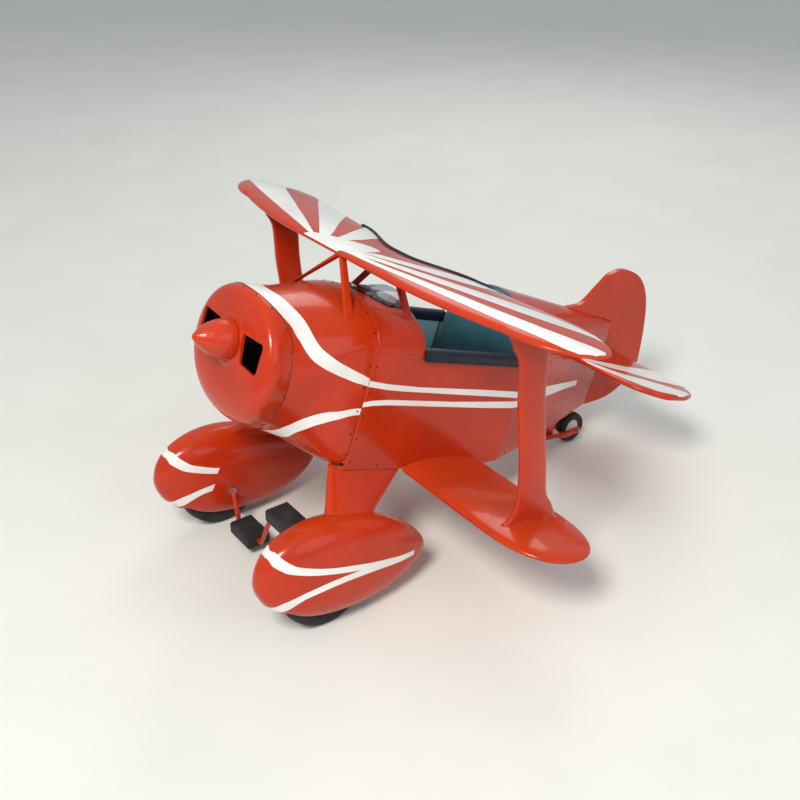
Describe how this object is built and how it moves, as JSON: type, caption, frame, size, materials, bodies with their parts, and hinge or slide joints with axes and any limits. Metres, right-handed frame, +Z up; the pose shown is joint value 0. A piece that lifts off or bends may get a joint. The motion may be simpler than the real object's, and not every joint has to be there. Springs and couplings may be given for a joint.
{
  "type": "pedal biplane",
  "caption": "Child's ride-on pedal biplane: fibreglass-style body with open cockpit, staggered wings, spatted crank-driven wheels and a steered tail wheel.",
  "frame": {"origin": "on the ground, under the middle of the bounding box", "axes": "+Z up, nose towards -Y, the aircraft's left side at +X; tail-down on its three wheels"},
  "size_m": [1.172, 1.2857, 0.6826],
  "materials": {
    "paint_red": "gloss red-orange coat with white stripes, over moulded skins, ply sides and shaped wings",
    "rubber_black": "matt black solid rubber",
    "padding_navy": "dark navy padded edging, satin",
    "upholstery_teal": "teal upholstery cloth",
    "plywood": "bare birch ply",
    "steel": "plain turned and bent steel",
    "clear_plastic": "clear plastic sheet, slightly yellowed",
    "rim_white": "off-white moulded wheel"
  },
  "bodies": {
    "airframe": {"axle_bush_left": "steel", "axle_bush_right": "steel", "belly_pan": "paint_red", "cabane_front_left": "paint_red", "cabane_front_right": "paint_red", "cabane_rear_left": "paint_red", "cabane_rear_right": "paint_red", "cockpit_rail_left": "padding_navy", "cockpit_rail_right": "padding_navy", "cowl_bowl": "paint_red", "fin_rudder": "paint_red", "firewall": "plywood", "forward_deck": "paint_red", "front_former": "plywood", "gear_beam": "plywood", "gear_leg_left": "paint_red", "gear_leg_right": "paint_red", "interplane_strut_left": "paint_red", "interplane_strut_right": "paint_red", "liner_left": "upholstery_teal", "liner_right": "upholstery_teal", "lower_wing_left": "paint_red", "lower_wing_right": "paint_red", "nose_shell": "paint_red", "rear_former": "plywood", "seat_back_pad": "upholstery_teal", "seat_cushion": "upholstery_teal", "seat_pan": "plywood", "side_left": "paint_red", "side_right": "paint_red", "stabilizer_left": "paint_red", "stabilizer_right": "paint_red", "stick_beam": "plywood", "tail_bracket": "paint_red", "top_wing": "paint_red", "top_wing_trim": "padding_navy", "tube_bearing_front": "steel", "tube_bearing_rear": "steel", "turtledeck": "paint_red", "wheel_pant_left": "paint_red", "wheel_pant_right": "paint_red", "windscreen": "clear_plastic"},
    "spinner": {"spinner": "paint_red", "spinner_shaft": "steel"},
    "crank": {"crank_axle": "paint_red", "main_tire_right": "rubber_black", "main_rim_right": "rim_white", "axle_collar_left": "steel", "axle_collar_right": "steel"},
    "left_wheel": {"main_tire_left": "rubber_black", "main_rim_left": "rim_white"},
    "left_pedal": {"pedal_left": "rubber_black"},
    "right_pedal": {"pedal_right": "rubber_black"},
    "stick": {"control_stick": "steel", "stick_grip": "rubber_black"},
    "fork": {"tail_fork": "paint_red", "tail_axle": "steel"},
    "link": {"drag_link": "steel"},
    "tail_wheel": {"tail_tire": "rubber_black", "tail_hub": "rim_white"}
  },
  "joints": [
    {"name": "spinner_spin", "type": "hinge", "parent": "airframe", "child": "spinner", "pos_m": [0, -0.50742, 0.54615], "axis": [0, 0.9438, -0.3305], "continuous": true},
    {"name": "crank_spin", "type": "hinge", "parent": "airframe", "child": "crank", "pos_m": [0, -0.4899, 0.1], "axis": [1, 0, 0], "continuous": true},
    {"name": "left_wheel_spin", "type": "hinge", "parent": "airframe", "child": "left_wheel", "pos_m": [0.218, -0.4899, 0.1], "axis": [1, 0, 0], "continuous": true},
    {"name": "left_pedal_spin", "type": "hinge", "parent": "crank", "child": "left_pedal", "pos_m": [0.085, -0.4899, 0.165], "axis": [1, 0, 0], "continuous": true},
    {"name": "right_pedal_spin", "type": "hinge", "parent": "crank", "child": "right_pedal", "pos_m": [-0.085, -0.4899, 0.035], "axis": [1, 0, 0], "continuous": true},
    {"name": "stick_roll", "type": "hinge", "parent": "airframe", "child": "stick", "pos_m": [0, -0.11068, 0.22677], "axis": [0, 0.9438, -0.3305], "range_deg": [-18, 18]},
    {"name": "tail_steer", "type": "hinge", "parent": "airframe", "child": "fork", "pos_m": [0, 0.3351, 0.06], "axis": [0, 0, 1], "range_deg": [-30, 30]},
    {"name": "link_swing", "type": "hinge", "parent": "fork", "child": "link", "pos_m": [0, 0.2801, 0.05], "axis": [0, 0, 1], "range_deg": [-30, 30]},
    {"name": "tail_wheel_spin", "type": "hinge", "parent": "fork", "child": "tail_wheel", "pos_m": [0, 0.4051, 0.04], "axis": [1, 0, 0], "continuous": true}
  ],
  "couplings": [
    {"joint": "tail_steer", "follows": "stick_roll", "ratio": -1.6364},
    {"joint": "link_swing", "follows": "stick_roll", "ratio": 1.6364}
  ]
}
